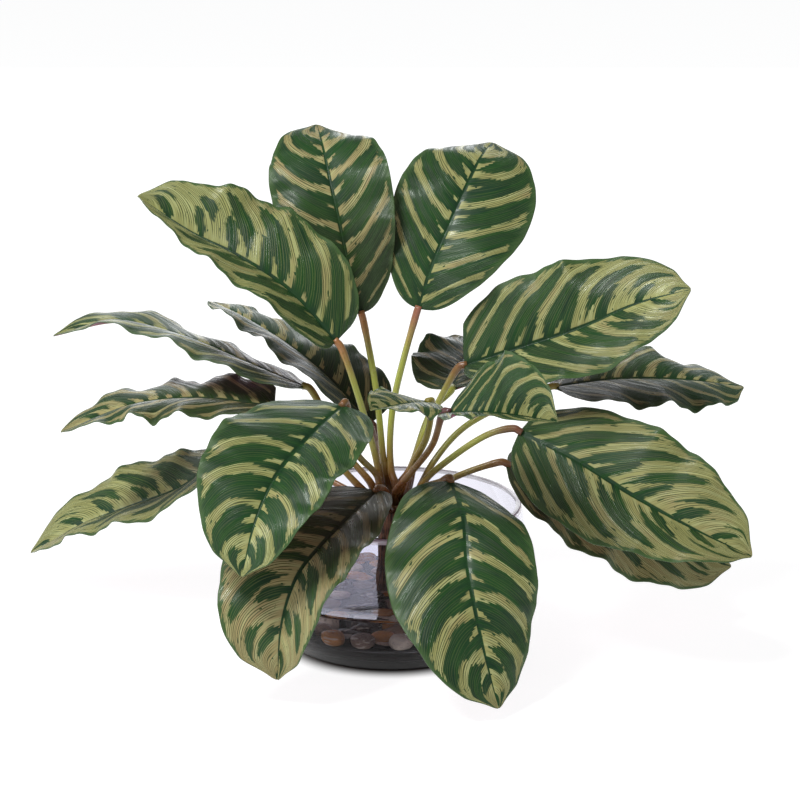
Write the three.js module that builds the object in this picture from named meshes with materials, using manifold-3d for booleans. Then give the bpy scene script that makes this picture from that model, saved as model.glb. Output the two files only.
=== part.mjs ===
// A peacock plant in a low, round, clear glass bowl with water and river pebbles.
// Millimetres, +Z up. The origin is the middle of the bowl's foot, on the surface it stands on.
// +X is to the right of the side that the plant faces, and -Y is towards the viewer.

import * as THREE from 'three';
import { mergeVertices } from 'three/addons/utils/BufferGeometryUtils.js';
import Module from 'manifold-3d';

const wasm = await Module();
wasm.setup();

// Driving dimensions
const GAP = 0.3;

const BOWL_HEIGHT = 100;
const BOWL_RIM_RADIUS = 92;
const BOWL_BELLY_CONTROL_RADIUS = 104;
const BOWL_FOOT_RADIUS = 66;
const BOWL_WALL = 4;
const BOWL_FLOOR_HEIGHT = 10;
const BOWL_FLOOR_RADIUS = 58;
const BOWL_SIDES = 36;
const BOWL_WALL_STEPS = 8;

const WATER_LEVEL = 44;

const PEBBLE_SEED = 11;
const PEBBLE_SPACING = 24;
const PEBBLE_HALF_LENGTH = 9;
const PEBBLE_HALF_HEIGHT = 5.5;
const PEBBLE_CORE_TOP = 22;
const PEBBLE_TOP = 31;
const PEBBLE_RING_RADII = [22, 40, 58];
const PEBBLE_PLACE_SHAKE = 0.12;
const PEBBLE_REACH_SHAKE = 2;

const CROWN_FOOT = new THREE.Vector3(-6, 0, 14);
const CROWN_HEAD = new THREE.Vector3(3, 0, 92);
const CROWN_HEAD_RADIUS = 12.7;
const CROWN_NECK_RADIUS = 8.5;
const CROWN_FOOT_RADIUS = 10;
const CROWN_SIDES = 20;
const CROWN_SHEATHS = 5;
const CROWN_HEAD_STEPS = [20, 40, 60, 78];

const STALK_RADIUS = 2.3;
const STALK_SIDES = 6;
const STALK_STEPS = 11;
const STALK_LEAVE_LENGTH = 7;
const STALK_ARRIVE_LENGTH = 4;

const BLADE_THICKNESS = 1.1;
const BLADE_RIB_DEPTH = 1.8;
const BLADE_ROWS = 20;
const BLADE_COLUMNS = [-1, -0.55, 0, 0.55, 1];
const BLADE_DOME = 0.07;
const BLADE_END_HALF_WIDTH = 1;
const BLADE_ROUNDNESS = 0.52;
const BLADE_BASE_FULLNESS = 0.14;
const BLADE_POINT_START = 0.92;
const BLADE_POINT_TAPER = 0.5;
const BLADE_ROW_CROWDING = 0.05;
const BLADE_HALVES_PHASE = 0.4;

// Every leaf: midrib points from the blade's base to its tip, and how the blade lies. Left and right
// are seen from above, from the base towards the tip. widths are of the left and the right half, and
// widest is where along the midrib they are reached. left and right hold the angle by which that half
// rises from level, at the base, the middle and the tip. wave is the height of the
// ruffles at the edge, waves their count on each side and phase where they start. seat is the stalk's
// place on the crown as azimuth and height angle, and via are the points that the stalk passes.
const LEAVES = [
  {
    name: 'top_left', widths: [44, 44], widest: 0.56, left: [0, -16, 4], right: [46, 44, -12],
    wave: 3, waves: 4.5, phase: 0.2,
    midrib: [
      [-21, 36, 229], [-29, 42, 257], [-36, 52, 288],
      [-43, 66, 317], [-49, 90, 339], [-54, 122, 351],
    ],
    seat: [125, 62], via: [[-5, 8, 126], [-11, 23, 179]],
  },
  {
    name: 'upper_left', widths: [44, 52], widest: 0.42, left: [-14, 0, 24], right: [62, 40, 75],
    wave: 3, waves: 4, phase: 0.1,
    midrib: [[-38, 0, 217], [-70, 4, 252], [-106, 12, 275], [-140, 24, 290], [-178, 42, 312]],
    seat: [180, 62], via: [[-8, 0, 120], [-18, 0, 161]],
  },
  {
    name: 'top_right', widths: [46, 53], widest: 0.56, left: [48, 28, -2], right: [-40, -38, -10],
    wave: 2, waves: 3.5, phase: 0.6,
    midrib: [[19, 34, 233], [28, 40, 261], [40, 50, 288], [52, 66, 312], [63, 90, 330], [73, 122, 338]],
    seat: [60, 88], via: [[0, 6, 122], [1, 16, 164]],
  },
  {
    name: 'upper_right', widths: [50, 47], widest: 0.4, left: [62, 72, 38], right: [-8, -36, -60],
    wave: 3, waves: 3.5, phase: 0.4,
    midrib: [[52, 22, 195], [91, 16, 209], [132, 8, 225], [170, 0, 244], [206, -12, 257]],
    seat: [20, 62], via: [[20, 9, 140]],
  },
  {
    name: 'middle_left', widths: [22, 22], widest: 0.45, left: [-8, -18, 14], right: [2, 16, 40],
    wave: 2, waves: 3, phase: 0.3,
    midrib: [[26, -38, 184], [10, -66, 190], [-13, -96, 193]],
    seat: [320, 62], via: [[14, -10, 128], [25, -26, 156]],
  },
  {
    name: 'middle_right', widths: [41, 34], widest: 0.5, left: [42, 75, 80], right: [0, 9, 9],
    wave: 2.5, waves: 3, phase: 0.7,
    midrib: [[39, -66, 184], [73, -96, 190], [108, -140, 197]],
    seat: [270, 62], via: [[15, -30, 132], [29, -52, 158]],
  },
  {
    name: 'right_back', widths: [45, 45], widest: 0.45, left: [2, 17, 5], right: [-8, -14, -22],
    wave: 4, waves: 3.5, phase: 0.2,
    midrib: [[118, 48, 173], [164, 66, 174], [214, 84, 169], [260, 98, 160]],
    seat: [35, 30], via: [[30, 17, 125], [54, 32, 148]],
  },
  {
    name: 'right_front', widths: [51, 47], widest: 0.44, left: [24, 54, 60], right: [-70, -36, -6],
    wave: 3, waves: 4, phase: 0.5,
    midrib: [[89, -24, 159], [127, -40, 143], [167, -56, 121], [207, -70, 102], [245, -80, 86]],
    seat: [334, 30], via: [[22, -8, 116], [41, -14, 136], [69, -23, 157]],
  },
  {
    name: 'right_low', widths: [46, 48], widest: 0.48, left: [20, 25, 20], right: [-30, -38, -55],
    wave: 3, waves: 4, phase: 0.9,
    midrib: [[82, -6, 130], [127, 2, 107], [185, 14, 75], [246, 28, 44]],
    seat: [0, 30], via: [[42, -3, 118], [67, -6, 129]],
  },
  {
    name: 'front_right', widths: [47, 55], widest: 0.43, left: [-20, 0, 0], right: [0, -8, -4],
    wave: 2, waves: 3.5, phase: 0.45,
    midrib: [[41, -50, 131], [49, -92, 118], [51, -122, 94], [56, -140, 67], [63, -153, 38], [71, -164, 9]],
    seat: [298, 30], via: [[19, -20, 115], [35, -38, 127]],
  },
  {
    name: 'front_left', widths: [38, 54], widest: 0.52, left: [8, 5, 10], right: [10, 20, 45],
    wave: 3, waves: 4, phase: 0.6,
    midrib: [
      [-10, -34, 119], [-28, -72, 112], [-46, -102, 101],
      [-62, -122, 85], [-72, -134, 56], [-75, -138, 19],
    ],
    seat: [254, 30], via: [[-4, -20, 114]],
  },
  {
    name: 'left_front', widths: [46, 52], widest: 0.42, left: [-12, 2, 0], right: [6, 28, 20],
    wave: 2.5, waves: 4, phase: 0.3,
    midrib: [[-33, -36, 181], [-55, -78, 170], [-75, -112, 153], [-88, -136, 129], [-97, -150, 95]],
    seat: [224, 30], via: [[-9, -8, 120], [-24, -18, 142]],
  },
  {
    name: 'left_upper', widths: [42, 42], widest: 0.4, left: [6, 8, 10], right: [-16, -14, 20],
    wave: 3, waves: 4, phase: 0.2,
    midrib: [[-62, 44, 174], [-103, 62, 187], [-146, 78, 201], [-198, 90, 211], [-248, 96, 199]],
    seat: [140, 30], via: [[-15, 11, 112], [-32, 22, 130]],
  },
  {
    name: 'left_middle', widths: [42, 42], widest: 0.4, left: [0, -6, 8], right: [18, 1, 15],
    wave: 4, waves: 4, phase: 0.8,
    midrib: [[-83, 26, 164], [-137, 38, 167], [-186, 46, 160], [-238, 44, 140]],
    seat: [168, 30], via: [[-20, 1, 109], [-42, 10, 130]],
  },
  {
    name: 'left_low', widths: [42, 46], widest: 0.4, left: [-25, -8, -5], right: [18, 38, 40],
    wave: 3, waves: 4, phase: 0.5,
    midrib: [[-119, 46, 127], [-153, 66, 93], [-193, 88, 71], [-234, 108, 50], [-275, 124, 23]],
    seat: [196, 30], via: [[-23, -3, 106], [-52, 12, 117]],
  },
  {
    name: 'back_left', widths: [40, 43], widest: 0.4, left: [22, 18, 20], right: [30, -8, -8],
    wave: 3, waves: 4, phase: 0.4,
    midrib: [[-15, 44, 147], [-46, 72, 174], [-78, 100, 193], [-113, 124, 208], [-134, 140, 215]],
    seat: [108, 30], via: [[-5, 18, 114]],
  },
  {
    name: 'back_right', widths: [37, 40], widest: 0.45, left: [-10, 10, 24], right: [10, 10, 10],
    wave: 4.5, waves: 3, phase: 0.2,
    midrib: [[44, 62, 168], [50, 92, 176], [57, 124, 180], [64, 156, 181]],
    seat: [75, 62], via: [[13, 17, 119], [29, 49, 154]],
  },
];

const COLOURS = {
  bowl: { color: 0xe8edf2, roughness: 0.05, metalness: 0 },
  water: { color: 0xb9bccb, roughness: 0.05, metalness: 0 },
  pebble_bed: { color: 0x6f5a48, roughness: 0.6, metalness: 0 },
  crown: { color: 0x5a4028, roughness: 0.7, metalness: 0 },
  blade: { color: 0x4f7a3a, roughness: 0.45, metalness: 0 },
  stalk: { color: 0x93894a, roughness: 0.5, metalness: 0 },
};

const object = new THREE.Group();

function addPiece(name, geometry, colour) {
  const mesh = new THREE.Mesh(geometry, new THREE.MeshStandardMaterial(COLOURS[colour]));
  mesh.name = name;
  object.add(mesh);
}

function toSolid(geometry) {
  const bare = geometry.clone();
  bare.deleteAttribute('normal');
  bare.deleteAttribute('uv');
  const merged = mergeVertices(bare, 1e-4);
  return new wasm.Manifold(new wasm.Mesh({
    numProp: 3,
    vertProperties: new Float32Array(merged.attributes.position.array),
    triVerts: new Uint32Array(merged.index.array),
  }));
}

function toGeometry(solid) {
  const mesh = solid.getMesh();
  const geometry = new THREE.BufferGeometry();
  geometry.setAttribute('position', new THREE.BufferAttribute(mesh.vertProperties, 3));
  geometry.setIndex(new THREE.BufferAttribute(mesh.triVerts, 1));
  return geometry;
}

// A closed skin over stacked rings of points that run counterclockwise seen from the last ring.
function skinRings(rings) {
  const count = rings[0].length;
  const middleOf = (ring) => ring
    .reduce((sum, point) => sum.add(point), new THREE.Vector3())
    .divideScalar(count);
  const points = rings.flat();
  const first = points.length;
  const last = first + 1;
  points.push(middleOf(rings[0]), middleOf(rings[rings.length - 1]));
  const index = [];
  for (let k = 0; k < count; k += 1) {
    const next = (k + 1) % count;
    for (let ring = 0; ring < rings.length - 1; ring += 1) {
      const low = ring * count;
      const high = low + count;
      index.push(low + k, low + next, high + next);
      index.push(low + k, high + next, high + k);
    }
    const top = (rings.length - 1) * count;
    index.push(first, next, k);
    index.push(last, top + k, top + next);
  }
  const geometry = new THREE.BufferGeometry().setFromPoints(points);
  geometry.setIndex(index);
  return geometry;
}

// Bowl: an outer and an inner wall curve turned about Z
const outerWall = new THREE.CubicBezierCurve(
  new THREE.Vector2(BOWL_FOOT_RADIUS, 0),
  new THREE.Vector2(BOWL_RIM_RADIUS, 2),
  new THREE.Vector2(BOWL_BELLY_CONTROL_RADIUS, BOWL_HEIGHT * 0.6),
  new THREE.Vector2(BOWL_RIM_RADIUS, BOWL_HEIGHT),
).getPoints(BOWL_WALL_STEPS);

const innerWall = new THREE.CubicBezierCurve(
  new THREE.Vector2(BOWL_FLOOR_RADIUS, BOWL_FLOOR_HEIGHT),
  new THREE.Vector2(BOWL_RIM_RADIUS, BOWL_FLOOR_HEIGHT + 1),
  new THREE.Vector2(BOWL_BELLY_CONTROL_RADIUS - BOWL_WALL, BOWL_HEIGHT * 0.6),
  new THREE.Vector2(BOWL_RIM_RADIUS - BOWL_WALL, BOWL_HEIGHT),
).getPoints(BOWL_WALL_STEPS);

function bowlGeometry() {
  const profile = [
    new THREE.Vector2(0, 0),
    ...outerWall,
    new THREE.Vector2(BOWL_RIM_RADIUS - BOWL_WALL / 2, BOWL_HEIGHT + 1),
    ...[...innerWall].reverse(),
    new THREE.Vector2(0, BOWL_FLOOR_HEIGHT),
  ];
  return new THREE.LatheGeometry(profile, BOWL_SIDES).rotateX(Math.PI / 2);
}

function innerRadiusAt(height) {
  const above = innerWall.findIndex((point) => point.y >= height);
  const low = innerWall[above - 1];
  const high = innerWall[above];
  return THREE.MathUtils.mapLinear(height, low.y, high.y, low.x, high.x);
}

// What fills the bowl between two heights, a gap away from its wall
function cavitySolid(bottom, top) {
  const between = innerWall.filter((point) => point.y > bottom && point.y < top);
  const profile = [
    new THREE.Vector2(0, bottom),
    new THREE.Vector2(innerRadiusAt(bottom) - GAP, bottom),
    ...between.map((point) => new THREE.Vector2(point.x - GAP, point.y)),
    new THREE.Vector2(innerRadiusAt(top) - GAP, top),
    new THREE.Vector2(0, top),
  ];
  return toSolid(new THREE.LatheGeometry(profile, BOWL_SIDES).rotateX(Math.PI / 2));
}

// Crown: a leaning bundle of sheaths with a round head that the stalks stand on. Each ring of its
// stem has a share of the way up, a radius and the depth of the grooves between the sheaths.
const CROWN_STEM = [
  { share: 0, radius: CROWN_FOOT_RADIUS * 0.6, groove: 0.05 },
  { share: 0.05, radius: CROWN_FOOT_RADIUS, groove: 0.1 },
  { share: 0.3, radius: CROWN_NECK_RADIUS, groove: 0.14 },
  { share: 0.6, radius: CROWN_NECK_RADIUS * 1.05, groove: 0.14 },
  { share: 0.85, radius: CROWN_HEAD_RADIUS * 0.88, groove: 0.1 },
  { share: 1, radius: CROWN_HEAD_RADIUS, groove: 0 },
];

function crownGeometry(grow) {
  const rings = [];
  const axis = new THREE.Vector3().subVectors(CROWN_HEAD, CROWN_FOOT);
  const addRing = (centre, radius, groove) => {
    const ring = [];
    for (let k = 0; k < CROWN_SIDES; k += 1) {
      const angle = (k / CROWN_SIDES) * 2 * Math.PI;
      const reach = radius * (1 + groove * Math.cos(CROWN_SHEATHS * angle)) + grow;
      const offset = new THREE.Vector3(Math.cos(angle) * reach, Math.sin(angle) * reach, 0);
      ring.push(offset.add(centre));
    }
    rings.push(ring);
  };
  for (const { share, radius, groove } of CROWN_STEM) {
    addRing(CROWN_FOOT.clone().addScaledVector(axis, share), radius, groove);
  }
  for (const heightAngle of CROWN_HEAD_STEPS) {
    const turn = THREE.MathUtils.degToRad(heightAngle);
    const centre = CROWN_HEAD.clone();
    centre.z += CROWN_HEAD_RADIUS * Math.sin(turn);
    addRing(centre, CROWN_HEAD_RADIUS * Math.cos(turn), 0);
  }
  return skinRings(rings);
}

// Pebbles: seeded ellipsoids in rings, fused with a core that fills the bed between them
function seededRandom(seed) {
  let state = seed;
  return () => {
    state = (state * 1664525 + 1013904223) % 4294967296;
    return state / 4294967296;
  };
}

function pebbleBedSolid() {
  const random = seededRandom(PEBBLE_SEED);
  const between = (low, high) => low + (high - low) * random();
  const floor = BOWL_FLOOR_HEIGHT + GAP;
  const wallAt = (height) => innerRadiusAt(height) - GAP - PEBBLE_HALF_LENGTH;
  const lowRow = floor + PEBBLE_HALF_HEIGHT + 2;
  const topRow = PEBBLE_TOP - PEBBLE_HALF_HEIGHT - 0.5;
  const core = new THREE.LatheGeometry([
    new THREE.Vector2(0, floor),
    new THREE.Vector2(BOWL_FLOOR_RADIUS - 2, floor),
    new THREE.Vector2(wallAt(topRow), PEBBLE_CORE_TOP),
    new THREE.Vector2(0, PEBBLE_CORE_TOP),
  ], BOWL_SIDES / 2).rotateX(Math.PI / 2);
  let bed = toSolid(core);
  const rings = [
    ...PEBBLE_RING_RADII.map((radius) => ({ radius, height: topRow - 1 })),
    { radius: wallAt(topRow) - 1, height: topRow },
    { radius: wallAt(lowRow) - 4, height: lowRow },
  ];
  for (const { radius, height } of rings) {
    const count = Math.floor((2 * Math.PI * radius) / PEBBLE_SPACING);
    const start = random();
    for (let k = 0; k < count; k += 1) {
      const place = k + start + between(-PEBBLE_PLACE_SHAKE, PEBBLE_PLACE_SHAKE);
      const angle = (place / count) * 2 * Math.PI;
      const reach = radius - between(0, PEBBLE_REACH_SHAKE);
      const pebble = new THREE.SphereGeometry(1, 7, 4).rotateX(Math.PI / 2);
      pebble.scale(
        PEBBLE_HALF_LENGTH * between(0.85, 1),
        PEBBLE_HALF_LENGTH * between(0.8, 0.95),
        PEBBLE_HALF_HEIGHT * between(0.9, 1.08),
      );
      pebble.rotateZ(between(0, Math.PI));
      pebble.translate(reach * Math.cos(angle), reach * Math.sin(angle), height);
      bed = bed.add(toSolid(pebble));
    }
  }
  return bed;
}

// Value at a place along the blade of a setting that is given at the base, the middle and the tip
function alongBlade([base, middle, tip], along) {
  const toMiddle = THREE.MathUtils.lerp(base, middle, Math.min(along * 2, 1));
  return THREE.MathUtils.lerp(toMiddle, tip, Math.max(along * 2 - 1, 0));
}

// Blade frame: the place on the midrib, the way out of the upper face and the way out along each half
function bladeFrame(leaf, curve, along) {
  const point = curve.getPoint(along);
  const tangent = curve.getTangent(along);
  const up = new THREE.Vector3(0, 0, 1);
  const level = up.clone().addScaledVector(tangent, -up.dot(tangent)).normalize();
  const side = new THREE.Vector3().crossVectors(level, tangent);
  const tilt = (angle, sign) => side.clone()
    .multiplyScalar(sign * Math.cos(angle))
    .addScaledVector(level, Math.sin(angle));
  const leftRise = THREE.MathUtils.degToRad(alongBlade(leaf.left, along));
  const rightRise = THREE.MathUtils.degToRad(alongBlade(leaf.right, along));
  const left = tilt(leftRise, 1);
  const right = tilt(rightRise, -1);
  const normal = tilt((leftRise - rightRise) / 2 + Math.PI / 2, 1);
  return { point, normal, left, right };
}

// Half width of a blade as a share of its widest, round at the base and pointed at the tip
function bladeOutline(leaf, along) {
  const skew = Math.log(0.5) / Math.log(leaf.widest);
  const power = BLADE_ROUNDNESS - BLADE_BASE_FULLNESS * (1 - along) ** 2;
  const oval = Math.max(Math.sin(Math.PI * along ** skew), 0) ** power;
  return oval * (1 - BLADE_POINT_TAPER * THREE.MathUtils.smoothstep(along, BLADE_POINT_START, 1));
}

function bladePoint(leaf, curve, along, across) {
  const frame = bladeFrame(leaf, curve, along);
  const share = Math.abs(across);
  const half = across > 0 ? frame.left : frame.right;
  const start = across > 0 ? leaf.phase : leaf.phase + BLADE_HALVES_PHASE;
  const lobe = Math.sin(2 * Math.PI * (leaf.waves * along + start));
  const middle = Math.sin(Math.PI * along);
  const width = across > 0 ? leaf.widths[0] : leaf.widths[1];
  const reach = Math.max(width * bladeOutline(leaf, along), BLADE_END_HALF_WIDTH) * share;
  const dome = BLADE_DOME * width * 4 * share * (1 - share) * middle;
  const ruffle = leaf.wave * lobe * share ** 2 * middle;
  return frame.point
    .addScaledVector(half, reach)
    .addScaledVector(frame.normal, dome + ruffle);
}

function bladeGeometry(leaf) {
  const curve = midribCurve(leaf);
  const upper = [];
  const lower = [];
  for (let row = 0; row <= BLADE_ROWS; row += 1) {
    const share = row / BLADE_ROWS;
    const along = share - BLADE_ROW_CROWDING * Math.sin(2 * Math.PI * share);
    const frame = bladeFrame(leaf, curve, along);
    for (const across of BLADE_COLUMNS) {
      const point = bladePoint(leaf, curve, along, across);
      const rib = across === 0 ? BLADE_RIB_DEPTH * (1 - along) : 0;
      upper.push(point);
      lower.push(point.clone().addScaledVector(frame.normal, -BLADE_THICKNESS - rib));
    }
  }
  const columns = BLADE_COLUMNS.length;
  const below = upper.length;
  const index = [];
  for (let row = 0; row < BLADE_ROWS; row += 1) {
    for (let column = 0; column < columns - 1; column += 1) {
      const a = row * columns + column;
      const b = a + 1;
      const c = a + columns;
      const d = c + 1;
      index.push(a, d, b, a, c, d);
      index.push(below + a, below + b, below + d, below + a, below + d, below + c);
    }
  }
  const rim = [];
  for (let column = 0; column < columns; column += 1) {
    rim.push(column);
  }
  for (let row = 1; row <= BLADE_ROWS; row += 1) {
    rim.push(row * columns + columns - 1);
  }
  for (let column = columns - 2; column >= 0; column -= 1) {
    rim.push(BLADE_ROWS * columns + column);
  }
  for (let row = BLADE_ROWS - 1; row > 0; row -= 1) {
    rim.push(row * columns);
  }
  rim.forEach((a, k) => {
    const b = rim[(k + 1) % rim.length];
    index.push(a, below + b, below + a, a, b, below + b);
  });
  const geometry = new THREE.BufferGeometry().setFromPoints([...upper, ...lower]);
  geometry.setIndex(index);
  return geometry;
}

function midribCurve(leaf) {
  const points = leaf.midrib.map((point) => new THREE.Vector3(...point));
  return new THREE.CatmullRomCurve3(points, false, 'catmullrom', 0.5);
}

function stalkGeometry(leaf) {
  const midrib = midribCurve(leaf);
  const azimuth = THREE.MathUtils.degToRad(leaf.seat[0]);
  const rise = THREE.MathUtils.degToRad(leaf.seat[1]);
  const leave = new THREE.Vector3(
    Math.cos(azimuth) * Math.cos(rise),
    Math.sin(azimuth) * Math.cos(rise),
    Math.sin(rise),
  );
  const start = CROWN_HEAD.clone().addScaledVector(leave, CROWN_HEAD_RADIUS + GAP);
  const base = midrib.getPoint(0);
  const arrive = midrib.getTangent(0);
  const path = new THREE.CatmullRomCurve3([
    start,
    start.clone().addScaledVector(leave, STALK_LEAVE_LENGTH),
    ...leaf.via.map((point) => new THREE.Vector3(...point)),
    base.clone().addScaledVector(arrive, -STALK_ARRIVE_LENGTH),
    base.clone().addScaledVector(arrive, -GAP),
  ]);
  const corners = [];
  for (let k = 0; k < STALK_SIDES; k += 1) {
    const angle = (k / STALK_SIDES) * 2 * Math.PI;
    corners.push(new THREE.Vector2(Math.cos(angle), Math.sin(angle)).multiplyScalar(STALK_RADIUS));
  }
  return new THREE.ExtrudeGeometry(new THREE.Shape(corners), { steps: STALK_STEPS, extrudePath: path });
}

addPiece('bowl', bowlGeometry(), 'bowl');

const crownHole = toSolid(crownGeometry(GAP));
const pebbleBed = pebbleBedSolid().subtract(crownHole);
addPiece('pebble_bed', toGeometry(pebbleBed), 'pebble_bed');

const water = cavitySolid(PEBBLE_TOP + GAP, WATER_LEVEL).subtract(crownHole);
addPiece('water', toGeometry(water), 'water');

addPiece('crown', crownGeometry(0), 'crown');

for (const leaf of LEAVES) {
  addPiece(`blade_${leaf.name}`, bladeGeometry(leaf), 'blade');
  addPiece(`stalk_${leaf.name}`, stalkGeometry(leaf), 'stalk');
}

export default object;
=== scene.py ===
# The looks of the peacock plant in its glass bowl: fine shapes, finishes, light and camera.
# Lengths are in millimetres until a mesh is made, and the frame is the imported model's.

import math
import random

import bpy
import numpy as np
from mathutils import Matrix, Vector, noise


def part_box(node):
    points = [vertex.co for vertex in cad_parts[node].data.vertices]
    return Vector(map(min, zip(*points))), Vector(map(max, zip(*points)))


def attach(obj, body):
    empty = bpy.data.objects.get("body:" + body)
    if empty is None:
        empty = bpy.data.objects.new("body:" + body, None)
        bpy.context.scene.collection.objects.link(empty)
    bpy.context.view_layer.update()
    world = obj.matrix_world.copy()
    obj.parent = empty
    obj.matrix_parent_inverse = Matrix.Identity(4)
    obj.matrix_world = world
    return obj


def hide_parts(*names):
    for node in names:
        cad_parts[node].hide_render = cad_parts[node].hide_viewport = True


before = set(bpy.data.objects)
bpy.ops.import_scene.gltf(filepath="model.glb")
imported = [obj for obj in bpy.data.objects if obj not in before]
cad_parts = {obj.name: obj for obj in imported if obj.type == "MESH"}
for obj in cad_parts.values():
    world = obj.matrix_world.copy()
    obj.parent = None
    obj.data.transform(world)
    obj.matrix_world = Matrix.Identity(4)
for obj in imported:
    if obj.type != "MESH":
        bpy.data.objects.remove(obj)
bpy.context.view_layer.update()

MM = 0.001
UP = np.array([0.0, 0.0, 1.0])

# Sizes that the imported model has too
GAP = 0.3
BOWL_HEIGHT = 100
BOWL_RIM_RADIUS = 92
BOWL_BELLY_CONTROL_RADIUS = 104
BOWL_FOOT_RADIUS = 66
BOWL_WALL = 4
BOWL_FLOOR_HEIGHT = 10
BOWL_FLOOR_RADIUS = 58
WATER_LEVEL = 44
PEBBLE_SEED = 11
PEBBLE_SPACING = 24
PEBBLE_HALF_LENGTH = 9
PEBBLE_HALF_HEIGHT = 5.5
PEBBLE_TOP = 31
PEBBLE_RING_RADII = [22, 40, 58]
PEBBLE_PLACE_SHAKE = 0.12
PEBBLE_REACH_SHAKE = 2
CROWN_FOOT = np.array([-6.0, 0.0, 14.0])
CROWN_HEAD = np.array([3.0, 0.0, 92.0])
CROWN_HEAD_RADIUS = 12.7
CROWN_NECK_RADIUS = 8.5
CROWN_FOOT_RADIUS = 10
CROWN_SHEATHS = 5
STALK_RADIUS = 2.3
STALK_LEAVE_LENGTH = 7
STALK_ARRIVE_LENGTH = 4
BLADE_RIB_DEPTH = 1.8
BLADE_DOME = 0.07
BLADE_END_HALF_WIDTH = 1
BLADE_ROUNDNESS = 0.52
BLADE_BASE_FULLNESS = 0.14
BLADE_POINT_START = 0.92
BLADE_POINT_TAPER = 0.5
BLADE_HALVES_PHASE = 0.4

# Sizes of the fine shapes
SKIN_THICKNESS = 0.5
BLADE_ROWS = 110
BLADE_HALF_COLUMNS = 26
ROW_CROWDING = 0.6
COLUMN_CROWDING = 1.3
LAST_COLUMN = 0.985
GROOVE_DEPTH = 0.7
GROOVE_FADE = 0.7
GROOVE_HALF_WIDTH = 1.5
RIB_HALF_WIDTH = 1.7
PLEAT_HEIGHT = 0.16
PLEATS = 26
STALK_SIDES = 14
STALK_STEPS = 64
STALK_IN_CROWN = np.linspace(9, 1.35, 5)
STALK_IN_BLADE = 2
SHEATH_LENGTH = 46
SHEATH_FULL = 4
SHEATH_SWELL = 0.42
JOINT_SWELL = 0.14
LATHE_SIDES = 144
WALL_STEPS = 60
WALL_LOOKUP_STEPS = 80

# Small waves between those of the table: how many to each, how far shifted and how high
SMALL_WAVES = 2.7
SMALL_WAVE_SHIFT = 3
SMALL_WAVE_HEIGHT = 0.3

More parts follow.
